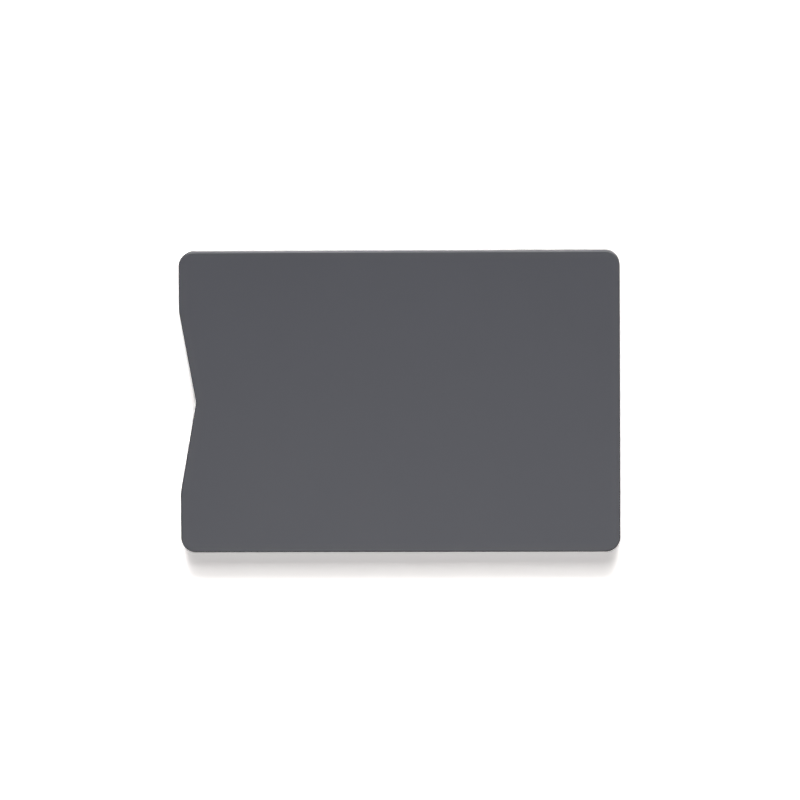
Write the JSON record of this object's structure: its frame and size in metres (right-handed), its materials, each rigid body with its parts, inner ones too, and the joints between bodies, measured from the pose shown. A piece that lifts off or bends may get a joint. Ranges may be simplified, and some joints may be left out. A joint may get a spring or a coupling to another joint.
{
  "type": "rfid card sleeve",
  "caption": "Rigid flat sleeve that slides over a bank card and shields it, with an open short side and a V-shaped thumb notch through both faces.",
  "frame": {"origin": "centre of the flat rear face that the sleeve lies on", "axes": "+X along the sleeve from the open mouth to the closed end, +Y across the card, +Z out of the front face"},
  "size_m": [0.088, 0.0604, 0.0046],
  "materials": {
    "cover_plastic": "fine satin spark texture, moulded in dark cool grey",
    "frame_plastic": "satin, moulded in the same dark grey as the covers",
    "shield_aluminium": "bright rolled sheet with a fine rolling grain",
    "liner_plastic": "smooth black film with a fine matte grain",
    "adhesive_film": "pale transfer adhesive"
  },
  "bodies": {
    "root": {"front_cover": "cover_plastic", "front_shield_tape": "adhesive_film", "front_shield": "shield_aluminium", "front_liner": "liner_plastic", "card_frame": "frame_plastic", "rear_liner": "liner_plastic", "rear_shield": "shield_aluminium", "rear_shield_tape": "adhesive_film", "rear_cover": "cover_plastic"}
  },
  "joints": []
}
